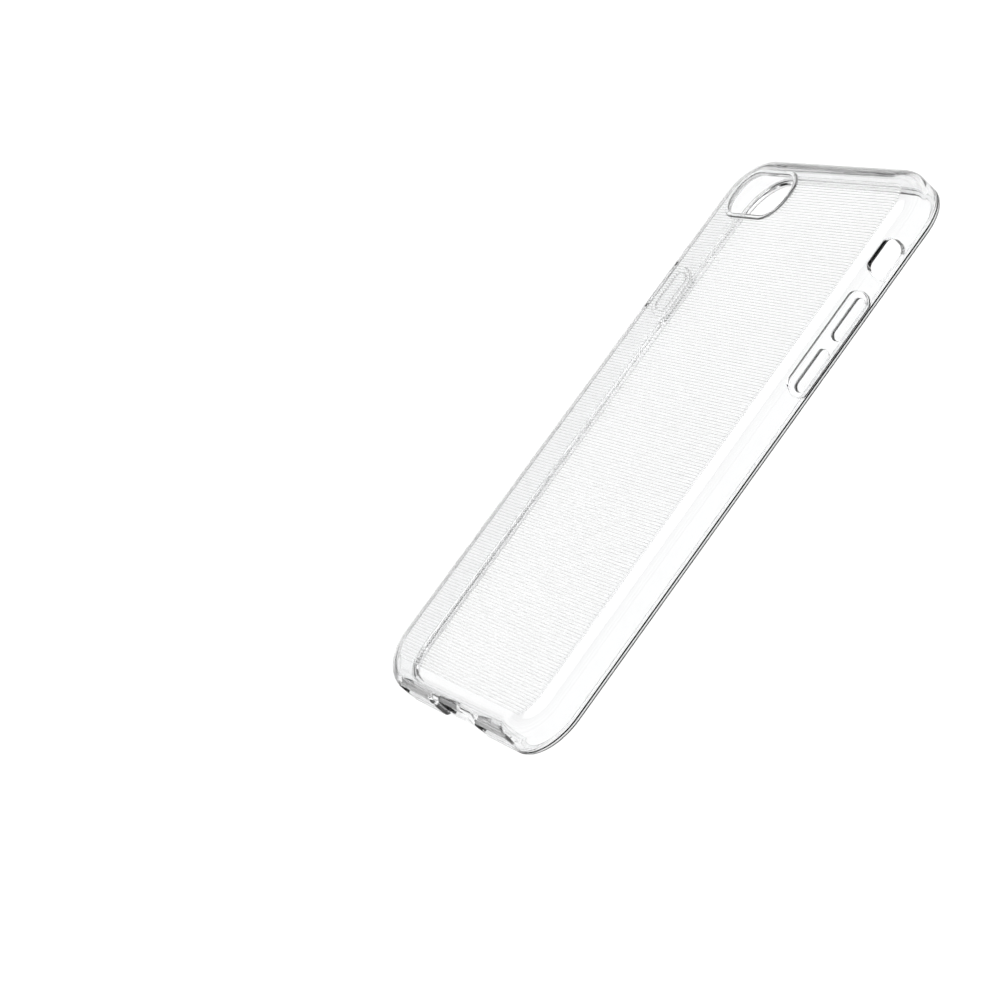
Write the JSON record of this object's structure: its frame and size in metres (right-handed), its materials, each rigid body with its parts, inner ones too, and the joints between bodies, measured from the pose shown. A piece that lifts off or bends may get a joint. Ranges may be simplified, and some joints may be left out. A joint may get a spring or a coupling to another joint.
{
  "type": "phone case",
  "caption": "Clear flexible case for a small phone: back with lens bezel, rounded walls with switch and port cutouts, front lip, and press-through side buttons.",
  "frame": {"origin": "middle of the case's footprint, on the plane of its open front, which lies on the ground", "axes": "+Z out through the back, +Y to the camera end, +X to the side with the two volume buttons"},
  "size_m": [0.0706, 0.1414, 0.0088],
  "materials": {
    "back": "water-clear soft plastic, glossy outside, with fine rows of raised dots inside",
    "walls": "water-clear soft plastic, glossy",
    "rim": "water-clear soft plastic, glossy",
    "bezel": "water-clear soft plastic, glossy",
    "webs": "water-clear soft plastic, thin and flexible",
    "buttons": "water-clear soft plastic, glossy"
  },
  "bodies": {
    "case": {"back_panel": "back", "right_wall": "walls", "left_wall": "walls", "top_wall": "walls", "bottom_wall": "walls", "corner_top_right": "walls", "corner_top_left": "walls", "corner_bottom_left": "walls", "corner_bottom_right": "walls", "front_rim": "rim", "camera_bezel": "bezel", "volume_web": "webs", "power_web": "webs"},
    "volume_up": {"volume_up_button": "buttons"},
    "volume_down": {"volume_down_button": "buttons"},
    "power": {"power_button": "buttons"}
  },
  "joints": [
    {"name": "volume_up_press", "type": "slide", "parent": "case", "child": "volume_up", "axis": [-1, 0, 0], "range_m": [0, 0.0004], "stiffness_N_per_m": 2000},
    {"name": "volume_down_press", "type": "slide", "parent": "case", "child": "volume_down", "axis": [-1, 0, 0], "range_m": [0, 0.0004], "stiffness_N_per_m": 2000},
    {"name": "power_press", "type": "slide", "parent": "case", "child": "power", "axis": [1, 0, 0], "range_m": [0, 0.0004], "stiffness_N_per_m": 2000}
  ]
}
